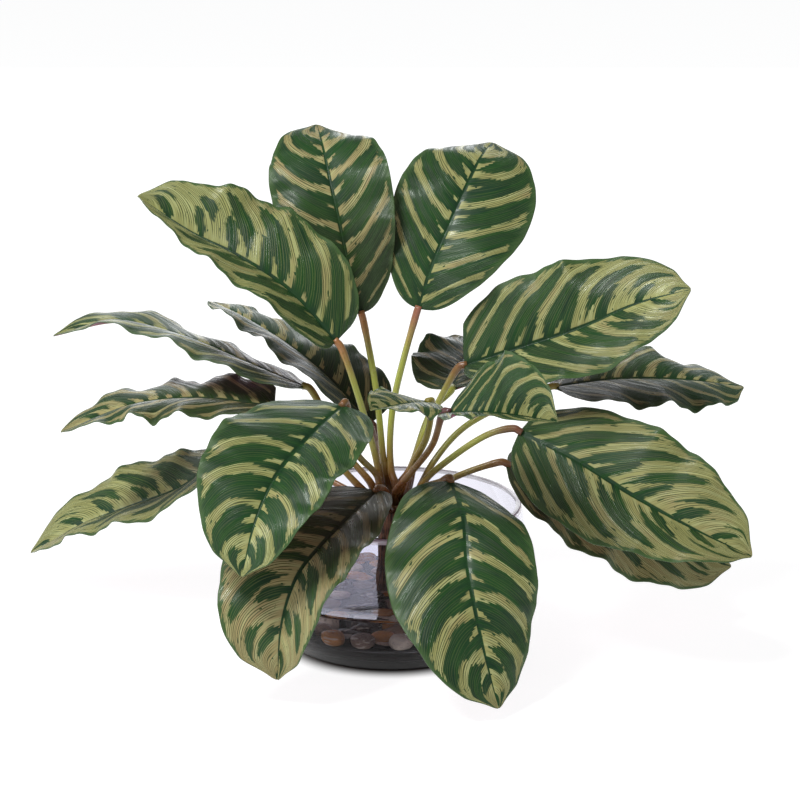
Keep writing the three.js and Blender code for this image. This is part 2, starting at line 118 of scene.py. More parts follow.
# Every leaf: the shape values are the imported model's. dark is how much of the blade the dark marks
# cover, from 0 to 1, shift moves the marks along the blade, fan is how far its side veins run
# forward, warm turns the pale ground from yellow-green to tan, and shade is how much painted shade
# darkens the blade towards its base. end is the colour of the stalk below its blade and middle the
# colour of its long part.
RED = (0.34, 0.13, 0.085)
RUST = (0.14, 0.05, 0.027)
ORANGE = (0.36, 0.15, 0.055)
BROWN = (0.19, 0.085, 0.032)
PURPLE = (0.11, 0.04, 0.045)
OLIVE = (0.25, 0.21, 0.034)
LIME = (0.32, 0.36, 0.058)
LEAVES = [
    dict(
        name="top_left", widths=[44, 44], widest=0.56, left=[0, -16, 4], right=[46, 44, -12],
        wave=3, waves=4.5, phase=0.2,
        midrib=[
            [-21, 36, 229], [-29, 42, 257], [-36, 52, 288],
            [-43, 66, 317], [-49, 90, 339], [-54, 122, 351],
        ],
        seat=[125, 62], via=[[-5, 8, 126], [-11, 23, 179]],
        dark=0.95, shift=0.1, fan=1.1, warm=0.55, shade=0.25, end=ORANGE, middle=LIME,
    ),
    dict(
        name="upper_left", widths=[44, 52], widest=0.42, left=[-14, 0, 24], right=[62, 40, 75],
        wave=3, waves=4, phase=0.1,
        midrib=[[-38, 0, 217], [-70, 4, 252], [-106, 12, 275], [-140, 24, 290], [-178, 42, 312]],
        seat=[180, 62], via=[[-8, 0, 120], [-18, 0, 161]],
        dark=0.35, shift=0.4, fan=1.3, warm=0.1, shade=0, end=ORANGE, middle=LIME,
    ),
    dict(
        name="top_right", widths=[46, 53], widest=0.56, left=[48, 28, -2], right=[-40, -38, -10],
        wave=2, waves=3.5, phase=0.6,
        midrib=[
            [19, 34, 233], [28, 40, 261], [40, 50, 288],
            [52, 66, 312], [63, 90, 330], [73, 122, 338],
        ],
        seat=[60, 88], via=[[0, 6, 122], [1, 16, 164]],
        dark=0.9, shift=0.75, fan=1.3, warm=0.2, shade=0, end=RED, middle=LIME,
    ),
    dict(
        name="upper_right", widths=[50, 47], widest=0.4, left=[62, 72, 38], right=[-8, -36, -60],
        wave=3, waves=3.5, phase=0.4,
        midrib=[[52, 22, 195], [91, 16, 209], [132, 8, 225], [170, 0, 244], [206, -12, 257]],
        seat=[20, 62], via=[[20, 9, 140]],
        dark=0.55, shift=0.6, fan=1.7, warm=0.15, shade=0, end=BROWN, middle=LIME,
    ),
    dict(
        name="middle_left", widths=[22, 22], widest=0.45, left=[-8, -18, 14], right=[2, 16, 40],
        wave=2, waves=3, phase=0.3,
        midrib=[[26, -38, 184], [10, -66, 190], [-13, -96, 193]],
        seat=[320, 62], via=[[14, -10, 128], [25, -26, 156]],
        dark=0.6, shift=0.2, fan=1.3, warm=0.3, shade=0, end=OLIVE, middle=OLIVE,
    ),
    dict(
        name="middle_right", widths=[41, 34], widest=0.5, left=[42, 75, 80], right=[0, 9, 9],
        wave=2.5, waves=3, phase=0.7,
        midrib=[[39, -66, 184], [73, -96, 190], [108, -140, 197]],
        seat=[270, 62], via=[[15, -30, 132], [29, -52, 158]],
        dark=0.8, shift=0.35, fan=1.8, warm=0.2, shade=0, end=PURPLE, middle=BROWN,
    ),
    dict(
        name="right_back", widths=[45, 45], widest=0.45, left=[2, 17, 5], right=[-8, -14, -22],
        wave=4, waves=3.5, phase=0.2,
        midrib=[[118, 48, 173], [164, 66, 174], [214, 84, 169], [260, 98, 160]],
        seat=[35, 30], via=[[30, 17, 125], [54, 32, 148]],
        dark=0.95, shift=0.5, fan=1.6, warm=0.4, shade=0.35, end=OLIVE, middle=LIME,
    ),
    dict(
        name="right_front", widths=[51, 47], widest=0.44, left=[24, 54, 60], right=[-70, -36, -6],
        wave=3, waves=4, phase=0.5,
        midrib=[[89, -24, 159], [127, -40, 143], [167, -56, 121], [207, -70, 102], [245, -80, 86]],
        seat=[334, 30], via=[[22, -8, 116], [41, -14, 136], [69, -23, 157]],
        dark=0.38, shift=0.15, fan=1.9, warm=0.2, shade=0, end=RUST, middle=LIME,
    ),
    dict(
        name="right_low", widths=[46, 48], widest=0.48, left=[20, 25, 20], right=[-30, -38, -55],
        wave=3, waves=4, phase=0.9,
        midrib=[[82, -6, 130], [127, 2, 107], [185, 14, 75], [246, 28, 44]],
        seat=[0, 30], via=[[42, -3, 118], [67, -6, 129]],
        dark=0.4, shift=0.8, fan=1.6, warm=0.35, shade=0.3, end=BROWN, middle=OLIVE,
    ),
    dict(
        name="front_right", widths=[47, 55], widest=0.43, left=[-20, 0, 0], right=[0, -8, -4],
        wave=2, waves=3.5, phase=0.45,
        midrib=[
            [41, -50, 131], [49, -92, 118], [51, -122, 94],
            [56, -140, 67], [63, -153, 38], [71, -164, 9],
        ],
        seat=[298, 30], via=[[19, -20, 115], [35, -38, 127]],
        dark=0.88, shift=0.3, fan=1.15, warm=0.2, shade=0, end=BROWN, middle=OLIVE,
    ),
    dict(
        name="front_left", widths=[38, 54], widest=0.52, left=[8, 5, 10], right=[10, 20, 45],
        wave=3, waves=4, phase=0.6,
        midrib=[
            [-10, -34, 119], [-28, -72, 112], [-46, -102, 101],
            [-62, -122, 85], [-72, -134, 56], [-75, -138, 19],
        ],
        seat=[254, 30], via=[[-4, -20, 114]],
        dark=0.45, shift=0.65, fan=1.3, warm=0.6, shade=0.6, end=BROWN, middle=BROWN,
    ),
    dict(
        name="left_front", widths=[46, 52], widest=0.42, left=[-12, 2, 0], right=[6, 28, 20],
        wave=2.5, waves=4, phase=0.3,
        midrib=[
            [-33, -36, 181], [-55, -78, 170], [-75, -112, 153], [-88, -136, 129], [-97, -150, 95],
        ],
        seat=[224, 30], via=[[-9, -8, 120], [-24, -18, 142]],
        dark=0.88, shift=0.85, fan=1.1, warm=0.1, shade=0, end=BROWN, middle=OLIVE,
    ),
    dict(
        name="left_upper", widths=[42, 42], widest=0.4, left=[6, 8, 10], right=[-16, -14, 20],
        wave=3, waves=4, phase=0.2,
        midrib=[[-62, 44, 174], [-103, 62, 187], [-146, 78, 201], [-198, 90, 211], [-248, 96, 199]],
        seat=[140, 30], via=[[-15, 11, 112], [-32, 22, 130]],
        dark=0.8, shift=0.25, fan=1.4, warm=0.1, shade=0.1, end=OLIVE, middle=OLIVE,
    ),
    dict(
        name="left_middle", widths=[42, 42], widest=0.4, left=[0, -6, 8], right=[18, 1, 15],
        wave=4, waves=4, phase=0.8,
        midrib=[[-83, 26, 164], [-137, 38, 167], [-186, 46, 160], [-238, 44, 140]],
        seat=[168, 30], via=[[-20, 1, 109], [-42, 10, 130]],
        dark=0.75, shift=0.55, fan=1.4, warm=0.5, shade=0.25, end=OLIVE, middle=OLIVE,
    ),
    dict(
        name="left_low", widths=[42, 46], widest=0.4, left=[-25, -8, -5], right=[18, 38, 40],
        wave=3, waves=4, phase=0.5,
        midrib=[[-119, 46, 127], [-153, 66, 93], [-193, 88, 71], [-234, 108, 50], [-275, 124, 23]],
        seat=[196, 30], via=[[-23, -3, 106], [-52, 12, 117]],
        dark=0.25, shift=0.05, fan=1.6, warm=0.15, shade=0, end=ORANGE, middle=ORANGE,
    ),
    dict(
        name="back_left", widths=[40, 43], widest=0.4, left=[22, 18, 20], right=[30, -8, -8],
        wave=3, waves=4, phase=0.4,
        midrib=[
            [-15, 44, 147], [-46, 72, 174], [-78, 100, 193], [-113, 124, 208], [-134, 140, 215],
        ],
        seat=[108, 30], via=[[-5, 18, 114]],
        dark=0.8, shift=0.7, fan=1.3, warm=0.4, shade=0.25, end=RUST, middle=RUST,
    ),
    dict(
        name="back_right", widths=[37, 40], widest=0.45, left=[-10, 10, 24], right=[10, 10, 10],
        wave=4.5, waves=3, phase=0.2,
        midrib=[[44, 62, 168], [50, 92, 176], [57, 124, 180], [64, 156, 181]],
        seat=[75, 62], via=[[13, 17, 119], [29, 49, 154]],
        dark=0.8, shift=0.9, fan=1.2, warm=0.5, shade=0.3, end=LIME, middle=LIME,
    ),
]


# Curves


def unit(vectors):
    return vectors / np.linalg.norm(vectors, axis=-1, keepdims=True)


def curve_at(points, shares, power):
    """Places and directions on a Catmull-Rom curve whose ends are reflected, at shares of its way.

    power is 0 for a uniform curve and 0.5 for a centripetal one.
    """
    points = np.array(points, float)
    first = 2 * points[0] - points[1]
    last = 2 * points[-1] - points[-2]
    padded = np.vstack([first, points, last])
    spans = len(points) - 1
    along = np.clip(np.asarray(shares, float), 0, 1) * spans
    span = np.minimum(along.astype(int), spans - 1)
    t = (along - span)[:, None]
    before, start, end, after = (padded[span + k] for k in range(4))

    def knot(a, b):
        return np.linalg.norm(b - a, axis=1)[:, None] ** power

    d0, d1, d2 = knot(before, start), knot(start, end), knot(end, after)
    leave = ((start - before) / d0 - (end - before) / (d0 + d1) + (end - start) / d1) * d1
    arrive = ((end - start) / d1 - (after - start) / (d1 + d2) + (after - end) / d2) * d1
    square = 3 * (end - start) - 2 * leave - arrive
    cube = 2 * (start - end) + leave + arrive
    place = start + leave * t + square * t**2 + cube * t**3
    direction = leave + 2 * square * t + 3 * cube * t**2
    return place, unit(direction)


def bezier(points, steps):
    """Points on a cubic Bezier curve in the plane."""
    a, b, c, d = (np.array(point, float) for point in points)
    t = np.linspace(0, 1, steps + 1)[:, None]
    return a * (1 - t) ** 3 + 3 * b * t * (1 - t) ** 2 + 3 * c * t**2 * (1 - t) + d * t**3


def smoothstep(value, low, high):
    t = np.clip((value - low) / (high - low), 0, 1)
    return t * t * (3 - 2 * t)


# Meshes


def add_object(name, data):
    thing = bpy.data.objects.new(name, data)
    bpy.context.scene.collection.objects.link(thing)
    return thing


def make_piece(name, materials, points, faces, uv=None):
    """A smooth mesh object from points in millimetres. uv has a pair of numbers for each point."""
    mesh = bpy.data.meshes.new(name)
    corner_lists = [list(map(int, face)) for face in faces]
    mesh.from_pydata((np.asarray(points) * MM).tolist(), [], corner_lists)
    mesh.polygons.foreach_set("use_smooth", [True] * len(mesh.polygons))
    if uv is not None:
        corners = np.empty(len(mesh.loops), int)
        mesh.loops.foreach_get("vertex_index", corners)
        layer = mesh.uv_layers.new(name="Surface")
        layer.data.foreach_set("uv", np.asarray(uv)[corners].ravel())
    for material in materials:
        mesh.materials.append(material)
    mesh.update()
    return add_object(name, mesh)


def place_piece(piece, slot, *nodes):
    """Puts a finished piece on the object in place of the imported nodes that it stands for."""
    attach(piece, "root")
    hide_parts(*nodes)


def keep_in_box(points, node):
    """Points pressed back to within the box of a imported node, where a fine curve bulges past it."""
    low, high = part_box(node)
    return np.clip(points, np.array(low) / MM, np.array(high) / MM)


def closed_faces(rows, columns):
    """Faces of a solid whose points are its rings, then the middle of its first and last end."""
    faces = []
    first_end = rows * columns
    top = first_end - columns
    for column in range(columns):
        after = (column + 1) % columns
        for low in range(0, top, columns):
            high = low + columns
            faces.append((low + column, low + after, high + after, high + column))
        faces.append((first_end, after, column))
        faces.append((first_end + 1, top + column, top + after))
    return faces


def join(parts):
    """One mesh from parts: their points, their faces, and one map pair or a pair for each point."""
    points = []
    faces = []
    uv = []
    count = 0
    for part_points, part_faces, pairs in parts:
        faces += [[corner + count for corner in face] for face in part_faces]
        points.append(part_points)
        uv.append(np.broadcast_to(pairs, (len(part_points), 2)))
        count += len(part_points)
    return np.vstack(points), faces, np.vstack(uv)


def lathe(profile, sides=LATHE_SIDES):
    """Points and faces of a solid turned about Z. The profile starts and ends on the axis."""
    profile = np.asarray(profile, float)
    angles = np.linspace(0, 2 * math.pi, sides, endpoint=False)
    turned = profile[1:-1]
    points = np.empty((len(turned), sides, 3))
    points[..., 0] = turned[:, :1] * np.cos(angles)
    points[..., 1] = turned[:, :1] * np.sin(angles)
    points[..., 2] = turned[:, 1:]
    ends = [[0, 0, profile[0][1]], [0, 0, profile[-1][1]]]
    return np.vstack([points.reshape(-1, 3), ends]), closed_faces(len(turned), sides)


def tube(path, directions, radii, sides):
    """Points and faces of a closed tube along a path, with a radius at each of its points."""
    side = unit(np.cross(directions[0], UP + [0.1, 0.05, 0]))
    angles = np.linspace(0, 2 * math.pi, sides, endpoint=False)
    rings = []
    for place, direction, radius in zip(path, directions, radii):
        side = unit(side - direction * np.dot(side, direction))
        other = np.cross(direction, side)
        ring = place + radius * (np.outer(np.cos(angles), side) + np.outer(np.sin(angles), other))
        rings.append(ring)
    return np.vstack([*rings, path[0], path[-1]]), closed_faces(len(rings), sides)


# Shader numbers


class Number:
    """A number in a shader. Arithmetic with it adds the nodes that work the result out."""

    def __init__(self, tree, socket):
        self.tree = tree
        self.socket = socket

    def math(self, operation, *others):
        sockets = dict(enumerate((self, *others)))
        node = add_node(self.tree, "Math", sockets, operation=operation)
        return Number(self.tree, node.outputs[0])

    def __add__(self, other):
        return self.math("ADD", other)

    def __sub__(self, other):
        return self.math("SUBTRACT", other)

    def __rsub__(self, other):
        return (self * -1) + other

    def __mul__(self, other):
        return self.math("MULTIPLY", other)

    def __truediv__(self, other):
        return self.math("DIVIDE", other)

    def __pow__(self, other):
        return self.math("POWER", other)

    __radd__ = __add__
    __rmul__ = __mul__

    def absolute(self):
        return self.math("ABSOLUTE")

    def above(self, other):
        return self.math("GREATER_THAN", other)

    def largest(self, other):
        return self.math("MAXIMUM", other)

    def ramp(self, low, high):
        """0 below low, 1 above high and a smooth rise between them. low may be above high."""
        sockets = {"Value": self, "From Min": low, "From Max": high}
        node = add_node(self.tree, "MapRange", sockets, interpolation_type="SMOOTHSTEP")
        return Number(self.tree, node.outputs["Result"])


def feed(tree, value, socket):
    """Connects a number or another socket to a socket, or sets it. A tuple is a colour."""
    if isinstance(value, Number):
        value = value.socket
    if isinstance(value, bpy.types.NodeSocket):
        tree.links.new(value, socket)
    elif isinstance(value, tuple):
        socket.default_value = (*value, 1.0)
    else:
        socket.default_value = value


def add_node(tree, kind, sockets, **settings):
    """Adds a shader node with its settings, and feeds its sockets by their names or numbers."""
    node = tree.nodes.new("ShaderNode" + kind)
    for name, value in settings.items():
        setattr(node, name, value)
    for key, value in sockets.items():
        feed(tree, value, node.inputs[key])
    return node


def streaks(tree, across, along, detail):
    """Noise from 0 to 1 in a plane. The two numbers are places in it."""
    place = add_node(tree, "CombineXYZ", {0: across, 1: along})
    sockets = {"Vector": place.outputs[0], "Scale": 1.0, "Detail": detail}
    cloud = add_node(tree, "TexNoise", sockets, noise_dimensions="2D")
    return Number(tree, cloud.outputs[0])


def clouds(tree, scale, detail=3.0, squeeze=(1.0, 1.0, 1.0)):
    """Noise from 0 to 1 in space, over the object's own metres."""
    where = add_node(tree, "TexCoord", {}).outputs["Object"]
    stretch = add_node(tree, "Mapping", {"Vector": where, "Scale": list(squeeze)})
    sockets = {"Vector": stretch.outputs[0], "Scale": scale, "Detail": detail}
    return Number(tree, add_node(tree, "TexNoise", sockets).outputs[0])


def chance(tree, number):
    """A random number from 0 to 1 that is fixed for each value of a number."""
    node = add_node(tree, "TexWhiteNoise", {"W": number}, noise_dimensions="1D")
    return Number(tree, node.outputs["Value"])


def mix(tree, share, first, second):
    """A colour between two colours."""
    node = add_node(tree, "Mix", {"Factor": share, 6: first, 7: second}, data_type="RGBA")
    return Number(tree, node.outputs[2])


def surface_numbers(tree):
    """The two numbers of the surface's own map."""
    node = add_node(tree, "UVMap", {}, uv_map="Surface")
    split = add_node(tree, "SeparateXYZ", {0: node.outputs["UV"]})
    return Number(tree, split.outputs[0]), Number(tree, split.outputs[1])


def new_material(name, **sockets):
    """A material with one Principled shader. Words name its sockets, with _ for a space."""
    material = bpy.data.materials.new(name)
    material.use_nodes = True
    tree = material.node_tree
    shader = tree.nodes["Principled BSDF"]
    for word, value in sockets.items():
        feed(tree, value, shader.inputs[word.replace("_", " ")])
    return material, tree, shader


def add_bump(tree, shader, height, distance, strength):
    sockets = {"Height": height, "Distance": distance, "Strength": strength}
    feed(tree, add_node(tree, "Bump", sockets).outputs["Normal"], shader.inputs["Normal"])


def finish_surface(tree, shader, colour, rough, height, distance, strength):
    """Gives a shader its colour, its roughness and a bump from a height."""
    feed(tree, colour, shader.inputs["Base Color"])
    feed(tree, rough, shader.inputs["Roughness"])
    add_bump(tree, shader, height, distance, strength)


# Blades

# How far the side veins run towards the tip, and how many there are along a half
FAN_SLOPE = 0.1
FAN_BEND = 0.12
LINES_TO_TIP = 88

# Marks, as shares of the blade's length, of its half width or of a unit
UNIT_LENGTH = 0.16
HALVES_APART = 0.45
EDGE_BEND = 0.03
LONG_LOBE_MIDDLE = 0.3
LONG_LOBE_TURN = 0.45
SHORT_LOBE_MIDDLE = 0.76
MARGIN_START = 0.95
MARK_SOFTNESS = 0.014

DEEP_GREEN = (0.007, 0.029, 0.012)
DARK_GREEN = (0.012, 0.046, 0.014)
MIDDLE_GREEN = (0.028, 0.088, 0.021)
MARGIN_GREEN = (0.075, 0.135, 0.045)
PALE_GREEN = (0.29, 0.31, 0.105)
# Lighter pale ground along the glossy streaks: partly its own tone, partly painted sheen
BRIGHT_AND_SHEEN_GREEN = (0.46, 0.49, 0.24)
PALE_TAN = (0.34, 0.24, 0.125)
LINE_GREEN = (0.05, 0.06, 0.02)
# Colour of the painted shade towards the base of blades that lie in shade
PAINTED_SHADE_BROWN = (0.035, 0.018, 0.008)
UNDERSIDE_PINK = (0.36, 0.13, 0.22)
UNDERSIDE_PURPLE = (0.26, 0.08, 0.14)
UNDERSIDE_MARK = (0.13, 0.03, 0.055)
UNDERSIDE_VEIN = (0.42, 0.2, 0.27)
UNDERSIDE_MIDRIB = (0.3, 0.2, 0.12)


def along_blade(values, along):
    """The value at each share of the blade's length, from those at its base, middle and tip."""
    base, middle, tip = values
    to_middle = base + (middle - base) * np.minimum(along * 2, 1)
    return to_middle + (tip - to_middle) * np.maximum(along * 2 - 1, 0)


def blade_surface(leaf, along, across):
    """Points of a blade's upper face and the way out of it, for rows along and columns across."""
    middle_line, direction = curve_at(leaf["midrib"], along, 0)
    level = unit(UP - direction * direction[:, 2:3])
    side = np.cross(level, direction)

    def tilt(angle, sign):
        return side * sign * np.cos(angle)[:, None] + level * np.sin(angle)[:, None]

    left_rise = np.radians(along_blade(leaf["left"], along))
    right_rise = np.radians(along_blade(leaf["right"], along))
    normal = tilt((left_rise - right_rise) / 2 + math.pi / 2, 1)
    halves = (tilt(right_rise, -1), tilt(left_rise, 1))

    skew = math.log(0.5) / math.log(leaf["widest"])
    power = BLADE_ROUNDNESS - BLADE_BASE_FULLNESS * (1 - along) ** 2
    oval = np.maximum(np.sin(math.pi * along**skew), 0) ** power
    outline = oval * (1 - BLADE_POINT_TAPER * smoothstep(along, BLADE_POINT_START, 1))
    middle = np.sin(math.pi * along)

    points = np.empty((len(along), len(across), 3))
    reaches = np.empty((len(along), len(across)))
    for column, place in enumerate(across):
        on_left = place > 0
        share = abs(place)
        width = leaf["widths"][0] if on_left else leaf["widths"][1]
        start = leaf["phase"] if on_left else leaf["phase"] + BLADE_HALVES_PHASE
        lobe = np.sin(2 * math.pi * (leaf["waves"] * along + start))
        small_turns = leaf["waves"] * SMALL_WAVES * along + start * SMALL_WAVE_SHIFT
        small_lobe = np.sin(2 * math.pi * small_turns)
        reach = np.maximum(width * outline, BLADE_END_HALF_WIDTH) * share
        dome = BLADE_DOME * width * 4 * share * (1 - share) * middle
        ruffle = lobe * share**2 + SMALL_WAVE_HEIGHT * small_lobe * share**4
        vein = along - leaf["fan"] * vein_fan(share)
        pleat = PLEAT_HEIGHT * np.cos(2 * math.pi * PLEATS * vein) * math.sin(math.pi * share)
        depth = GROOVE_DEPTH * (1 - GROOVE_FADE * along)
        groove = depth * np.exp(-((reach / GROOVE_HALF_WIDTH) ** 2))
        lift = dome + (leaf["wave"] * ruffle + pleat) * middle - groove
        flat = middle_line + halves[int(on_left)] * reach[:, None]
        points[:, column] = flat + normal * lift[:, None]
        reaches[:, column] = reach
    return points, normal, reaches


def vein_fan(share):
    """How far towards the tip a side vein has run at a share of the half width from the midrib."""
    return FAN_SLOPE * share + FAN_BEND * share * share


def blade_piece(leaf):
    rows = (1 - np.cos(np.linspace(0, math.pi, BLADE_ROWS + 1))) / 2
    rows = ROW_CROWDING * rows + (1 - ROW_CROWDING) * np.linspace(0, 1, BLADE_ROWS + 1)
    half = np.linspace(0, 1, BLADE_HALF_COLUMNS + 1)[1:] ** COLUMN_CROWDING
    half[-2] = LAST_COLUMN
    across = np.concatenate([-half[::-1], [0], half])
    upper, normal, reach = blade_surface(leaf, rows, across)
    rib = BLADE_RIB_DEPTH * (1 - rows)[:, None] * np.exp(-((reach / RIB_HALF_WIDTH) ** 2))
    lower = upper - normal[:, None, :] * (SKIN_THICKNESS + rib)[..., None]

    columns = len(across)
    count = len(rows) * columns
    index = np.arange(count).reshape(len(rows), columns)
    a = index[:-1, :-1].ravel()
    b = index[:-1, 1:].ravel()
    c = index[1:, 1:].ravel()
    d = index[1:, :-1].ravel()
    top = np.stack([a, d, c, b], axis=1)
    bottom = np.stack([a, b, c, d], axis=1) + count
    sides = (index[0, :], index[1:, -1], index[-1, -2::-1], index[-2:0:-1, 0])
    rim = np.concatenate(sides)
    after = np.roll(rim, -1)
    edge = np.stack([rim, after, after + count, rim + count], axis=1)

    node = "blade_" + leaf["name"]
    points = keep_in_box(np.vstack([upper.reshape(-1, 3), lower.reshape(-1, 3)]), node)
    uv = np.stack(np.meshgrid(rows, across / 2 + 0.5, indexing="ij"), axis=-1).reshape(-1, 2)
    faces = [*top, *bottom, *edge]
    materials = [blade_material(leaf), underside_material()]
    piece = make_piece("leaf_" + leaf["name"], materials, points, faces, np.vstack([uv, uv]))
    below = [0] * len(top) + [1] * len(bottom) + [0] * len(edge)
    piece.data.polygons.foreach_set("material_index", below)
    place_piece(piece, "blade", node)


def blade_marks(tree, dark, shift, fan):
    """Marks of a peacock leaf: shares of dark mark, margin, lines and grain, and places on it.

    Along each half the marks repeat in units. Going towards the tip, a unit has the end of a pale
    band, a long dark lobe out to the margin, a pale tooth beside the midrib, a short dark lobe, and
    the start of the next pale band, which widens past the end of the short lobe. The edges of the
    marks run along the rows between fine veins and step from row to row.
    """
    along, half = surface_numbers(tree)
    signed = half * 2 - 1
    side = signed.above(0)
    share = signed.absolute()
    toward_base = 1 - along
    vein = along - vein_fan(share) * fan
    sway = streaks(tree, vein * 26 + shift * 30, share * 1.6 + side * 5, 1)
    count = vein * LINES_TO_TIP + sway * 1.6
    off_line = count - count.math("FLOOR") - 0.5
    row = vein - off_line / LINES_TO_TIP
    bend = streaks(tree, row * 7 + shift * 40, share * 2.2 + side * 17, 1) - 0.5
    place = (row + bend * EDGE_BEND) / UNIT_LENGTH + (side * HALVES_APART + shift)
    cell = place.math("FLOOR")
    step = place - cell
    draw = cell * 3.7 + side * 51.3 + shift * 97
    first_draw = chance(tree, draw) - 0.5
    second_draw = chance(tree, draw + 0.5) - 0.5
    third_draw = chance(tree, draw + 0.9) - 0.5

    comb = streaks(tree, row * 190 + shift * 7, share * 3 + side * 9, 1) - 0.5
    reach = share + comb * (0.08 + share * 0.14)
    base_dark = dark + toward_base * 0.72 - 0.28

    long_end = 0.64 + base_dark * 0.5 + third_draw * 0.14
    long_start = along * 0.5 + 0.08 - base_dark * 0.52 + first_draw * 0.14
    outer = ((reach - LONG_LOBE_TURN) / (long_end - LONG_LOBE_TURN)).largest(0) ** 2.4
    closing = (1 - outer).largest(0) ** 0.55
    opening = reach.ramp(long_start - 0.1, long_start + 0.42 - base_dark * 0.2)
    widening = share.ramp(0.0, LONG_LOBE_TURN)
    long_half = 0.13 + base_dark * 0.06 + widening * (0.14 + base_dark * 0.055) + second_draw * 0.05
    long_middle = LONG_LOBE_MIDDLE + widening * 0.06 + first_draw * 0.04
    long_lobe = long_half * closing * opening - (step - long_middle).absolute() - 0.008

    short_end = 0.42 + base_dark * 0.04 + second_draw * 0.14
    run = ((share + comb * 0.08) / short_end).largest(0)
    neck = run.ramp(-0.25, 0.4).largest(base_dark.ramp(0.0, 0.65))
    rounding = (1 - run**3).largest(0) ** 0.5
    short_half = (0.215 - base_dark * 0.065 + third_draw * 0.05) * neck * rounding
    short_middle = SHORT_LOBE_MIDDLE - run * base_dark * 0.1 + third_draw * 0.02
    short_lobe = short_half - (step - short_middle).absolute() - 0.012

    margin = (reach - (MARGIN_START - base_dark * 0.05)) * 1.2
    midrib = (0.018 + 0.03 * toward_base - share) * 2
    stalk_end = (0.035 - along + first_draw * 0.02) * 3
    dark_mark = long_lobe.largest(short_lobe).largest(midrib).largest(stalk_end)
    fleck = streaks(tree, vein * 75 + shift * 11, share * 11 + side * 4, 0) - 0.83
    mark = dark_mark.largest(margin).largest(fleck).ramp(-MARK_SOFTNESS, MARK_SOFTNESS)
    edge = (share + comb * 0.12).ramp(0.86, 1.0)

    presence = streaks(tree, vein * 60 + shift * 13, share * 2 + side * 7, 0) + share * 0.16
    lines = off_line.absolute().ramp(0.23, 0.1) * presence.ramp(0.22, 0.46) * share.ramp(0.02, 0.2)
    fine = streaks(tree, vein * 300, share * 3, 1)
    return mark, edge, lines, fine, share, along, vein


def blade_material(leaf):
    material, tree, shader = new_material("leaf_face_" + leaf["name"], Specular_IOR_Level=0.25)
    dark = leaf["dark"]
    marks = blade_marks(tree, dark, leaf["shift"], leaf["fan"])
    mark, edge, lines, fine, share, along, vein = marks
    patch = clouds(tree, 38.0)
    streak = streaks(tree, vein * 34, share * 1.4, 1)
    green = mix(tree, patch.ramp(0.35, 0.65), DEEP_GREEN, DARK_GREEN)
    green = mix(tree, streak.ramp(0.4, 0.75) * 0.4, green, MIDDLE_GREEN)
    green = mix(tree, fine.ramp(0.4, 0.75) * 0.25, green, MIDDLE_GREEN)
    green = mix(tree, lines * (0.28 - 0.2 * dark), green, PALE_GREEN)
    green = mix(tree, edge * 0.6, green, MARGIN_GREEN)
    pale = mix(tree, leaf["warm"], PALE_GREEN, PALE_TAN)
    pale = mix(tree, patch.ramp(0.45, 0.75) * 0.45, pale, PALE_TAN)
    # Lighter streaks in the pale ground: partly its own tone, partly painted sheen along the glossy
    # streaks
    pale = mix(tree, streak.ramp(0.42, 0.7) * 0.45, pale, BRIGHT_AND_SHEEN_GREEN)
    pale = mix(tree, fine.ramp(0.5, 0.8) * 0.3, pale, MIDDLE_GREEN)
    pale = mix(tree, lines * 0.95, pale, LINE_GREEN)
    colour = mix(tree, mark, pale, green)
    # Painted shade: the blade darkens towards its base, as much as its shade value says
    colour = mix(tree, along.ramp(0.75, 0.2) * leaf["shade"], colour, PAINTED_SHADE_BROWN)
    rough = 0.42 - streak.ramp(0.35, 0.7) * 0.24 + patch * 0.1
    relief = fine + streak + lines * 0.4
    finish_surface(tree, shader, colour, rough, relief, distance=0.0003, strength=0.4)
    return material


def underside_material():
    """The purple underside that all blades share."""
    name = "leaf_underside"
    if name in bpy.data.materials:
        return bpy.data.materials[name]
    material, tree, shader = new_material(name, Specular_IOR_Level=0.4)
    mark, _, _, fine, share, _, _ = blade_marks(tree, dark=0.5, shift=0.3, fan=1)
    patch = clouds(tree, 45.0)
    colour = mix(tree, patch.ramp(0.3, 0.7), UNDERSIDE_PINK, UNDERSIDE_PURPLE)
    colour = mix(tree, mark * 0.6, colour, UNDERSIDE_MARK)
    colour = mix(tree, fine.ramp(0.5, 0.8) * 0.25, colour, UNDERSIDE_VEIN)
    colour = mix(tree, share.ramp(0.06, 0.02), colour, UNDERSIDE_MIDRIB)
    finish_surface(tree, shader, colour, 0.5 + patch * 0.15, fine, distance=0.0003, strength=0.6)
    return material


# Stalks

STALK_FLECK = (0.3, 0.26, 0.08)
STALK_BASE = (0.2, 0.068, 0.016)
STALK_FOOT = (0.058, 0.022, 0.008)
STALK_RIB = (0.13, 0.09, 0.025)


def stalk_path(leaf):
    """Places and directions from within the crown to just inside the blade's midrib."""
    azimuth, rise = np.radians(leaf["seat"])
    level = math.cos(rise)
    leave = np.array([math.cos(azimuth) * level, math.sin(azimuth) * level, math.sin(rise)])
    start = CROWN_HEAD + leave * (CROWN_HEAD_RADIUS + GAP)
    base, arrive = curve_at(leaf["midrib"], [0], 0)
    points = [start, start + leave * STALK_LEAVE_LENGTH, *leaf["via"]]
    points += [base[0] - arrive[0] * STALK_ARRIVE_LENGTH, base[0] - arrive[0] * GAP]
    path, directions = curve_at(points, np.linspace(0, 1, STALK_STEPS + 1), 0.5)
    sunk = start - leave * STALK_IN_CROWN[:, None]
    path = np.vstack([sunk, path, base + arrive * STALK_IN_BLADE])
    directions = np.vstack([[leave] * len(sunk), directions, arrive])
    return path, directions


